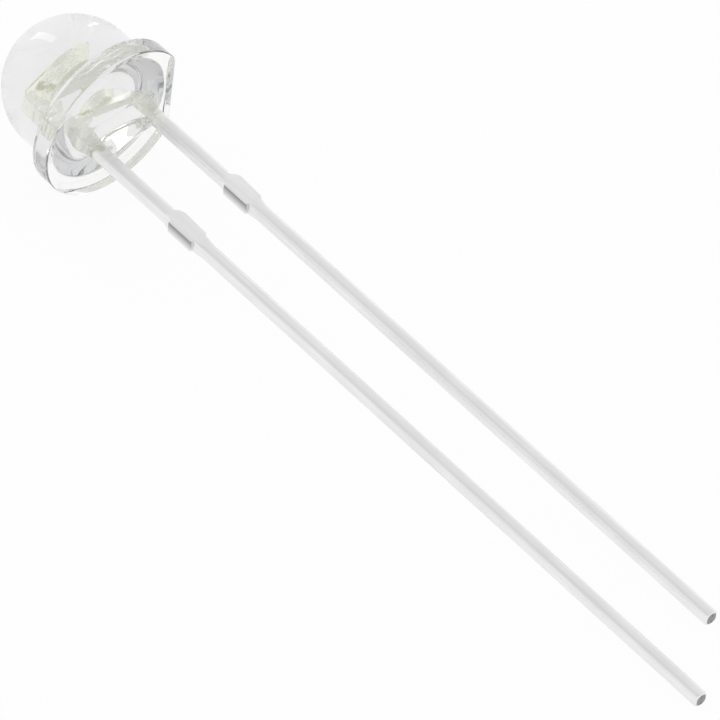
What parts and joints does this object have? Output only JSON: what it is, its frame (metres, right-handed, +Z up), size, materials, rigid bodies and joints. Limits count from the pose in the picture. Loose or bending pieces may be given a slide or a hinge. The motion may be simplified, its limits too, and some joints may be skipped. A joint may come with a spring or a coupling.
{
  "type": "through hole led",
  "caption": "Clear wide angle indicator LED with a domed body, a flange with a cathode flat, a phosphor filled cup inside and long square leads with stand-off stubs.",
  "frame": {"origin": "middle of the light's own box at floor level, as it lies on the flange's rim and both lead tips", "axes": "+Z up from the floor, +Y along the floor towards the dome, +X across the leads towards the cathode side, where the flange has its flat"},
  "size_m": [0.0054, 0.0342, 0.0058],
  "materials": {
    "clear_resin": "clear cast epoxy, polished by the mould, with a free cast base",
    "tinned_steel": "stamped iron strip with bright tin plating, sheared edges greyer",
    "die_glue": "cured die bonding glue",
    "die_crystal": "diced crystal with thin metal pads",
    "gold_wire": "drawn gold bonding wire",
    "phosphor": "yellow phosphor powder in clear resin"
  },
  "bodies": {
    "root": {"lens_body": "clear_resin", "cathode_lead": "tinned_steel", "anode_lead": "tinned_steel", "die_attach": "die_glue", "led_chip": "die_crystal", "bond_wire_anode": "gold_wire", "bond_wire_cathode": "gold_wire", "phosphor_fill": "phosphor"}
  },
  "joints": []
}
